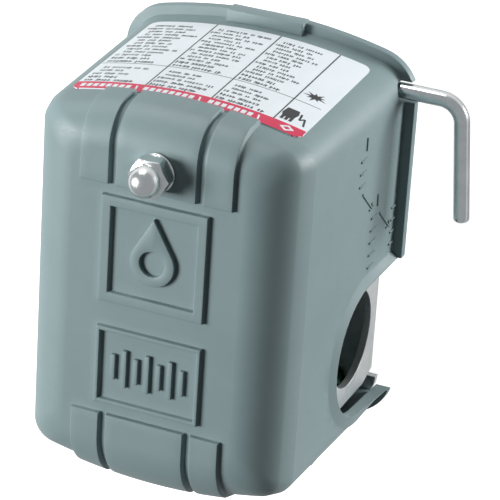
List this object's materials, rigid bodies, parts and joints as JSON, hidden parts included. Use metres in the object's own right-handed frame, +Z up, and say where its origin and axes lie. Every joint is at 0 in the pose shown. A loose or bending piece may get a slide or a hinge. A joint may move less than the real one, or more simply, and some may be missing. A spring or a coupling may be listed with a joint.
{
  "type": "pressure switch",
  "caption": "Pump pressure switch: grey cover over a spring-loaded lever and contacts on a steel base, with a threaded port below, side conduit holes and a bent cut-off lever.",
  "frame": {"origin": "middle of the pressure port's mouth, on the port's axis", "axes": "+Z up through the switch towards the cap nut, out of the port is -Z, -Y the label side, -X the side of the cut-off lever"},
  "size_m": [0.0824, 0.0928, 0.0845],
  "materials": {
    "cover_plastic": "satin grey-green moulded plastic",
    "label": "white printed sticker with a crimson band",
    "nickel": "bright nickel plate",
    "zinc_plate": "clear zinc-plated stamped steel",
    "cast_zinc": "cast and machined, plated",
    "rubber": "moulded nitrile",
    "zinc_screw": "zinc-plated steel",
    "nylon": "natural nylon",
    "steel_pin": "bright steel",
    "spring_steel": "drawn spring wire",
    "phenolic": "moulded black phenolic",
    "brass": "stamped brass",
    "copper": "copper alloy strip",
    "silver": "silver alloy contact",
    "green_screw": "green ground screw",
    "lever_rod": "bright zinc-plated rod",
    "black_steel": "black phosphate"
  },
  "bodies": {
    "root": {"base_bracket": "zinc_plate", "pressure_flange": "cast_zinc", "diaphragm": "rubber", "flange_screws": "zinc_screw", "range_stud": "zinc_screw", "differential_stud": "zinc_screw", "terminal_block": "phenolic", "block_rivets": "steel_pin", "terminal_plates": "brass", "fixed_contacts": "silver", "terminal_screws": "zinc_screw", "ground_screws": "green_screw", "lever_pin": "steel_pin", "carrier_pin": "steel_pin", "range_spring": "spring_steel", "differential_spring": "spring_steel", "toggle_springs": "spring_steel"},
    "cover": {"cover": "cover_plastic", "cover_label": "label"},
    "cap_nut": {"cap_nut": "nickel"},
    "piston": {"piston": "nylon"},
    "lever": {"actuating_lever": "zinc_plate"},
    "range_seat": {"range_seat": "zinc_plate"},
    "range_nut": {"range_nut": "zinc_screw"},
    "differential_seat": {"differential_seat": "zinc_plate"},
    "differential_nut": {"differential_nut": "zinc_screw"},
    "carrier": {"contact_carrier": "phenolic", "contact_blades": "copper", "moving_buttons": "silver", "contact_springs": "spring_steel"},
    "cutoff": {"cutoff_lever": "lever_rod", "cutoff_crank": "zinc_plate", "crank_pin": "steel_pin", "cutoff_clip": "black_steel"}
  },
  "joints": [
    {"name": "cover_lift", "type": "slide", "parent": "root", "child": "cover", "axis": [0, 0, 1], "range_m": [0, 0.07]},
    {"name": "cap_nut_turn", "type": "hinge", "parent": "cover", "child": "cap_nut", "pos_m": [0, -0.0174, 0.0757], "axis": [0, 0, 1], "continuous": true},
    {"name": "lever_tilt", "type": "hinge", "parent": "root", "child": "lever", "pos_m": [0, 0.008, 0.023], "axis": [-1, 0, 0], "range_deg": [0, 3], "stiffness_Nm_per_rad": 0.02, "springref_deg": -17.19, "deforming": ["range_spring", "differential_spring", "toggle_springs"]},
    {"name": "piston_lift", "type": "slide", "parent": "root", "child": "piston", "axis": [0, 0, 1], "range_m": [0, 0.00034]},
    {"name": "contact_flip", "type": "hinge", "parent": "root", "child": "carrier", "pos_m": [0, 0.0155, 0.033], "axis": [1, 0, 0], "range_deg": [0, 12.5]},
    {"name": "range_travel", "type": "slide", "parent": "root", "child": "range_seat", "axis": [0, 0, 1], "range_m": [-0.00397, 0.00238], "deforming": ["range_spring"]},
    {"name": "range_nut_turn", "type": "hinge", "parent": "range_seat", "child": "range_nut", "pos_m": [0, -0.0174, 0.0534], "axis": [0, 0, 1], "range_deg": [-1800, 1080]},
    {"name": "differential_travel", "type": "slide", "parent": "root", "child": "differential_seat", "axis": [0, 0, 1], "range_m": [-0.00318, 0.00159], "deforming": ["differential_spring"]},
    {"name": "differential_nut_turn", "type": "hinge", "parent": "differential_seat", "child": "differential_nut", "pos_m": [0.0128, 0, 0.0414], "axis": [0, 0, 1], "range_deg": [-1440, 720]},
    {"name": "cutoff_turn", "type": "hinge", "parent": "root", "child": "cutoff", "pos_m": [-0.02, -0.0216, 0.0181], "axis": [1, 0, 0], "range_deg": [0, 75]}
  ],
  "couplings": [
    {"joint": "piston_lift", "follows": "lever_tilt", "m_per_rad": 0.0063},
    {"joint": "contact_flip", "follows": "lever_tilt", "ratio": 4},
    {"joint": "range_nut_turn", "follows": "range_travel", "rad_per_m": 7913.3},
    {"joint": "differential_nut_turn", "follows": "differential_travel", "rad_per_m": 7913.3}
  ]
}
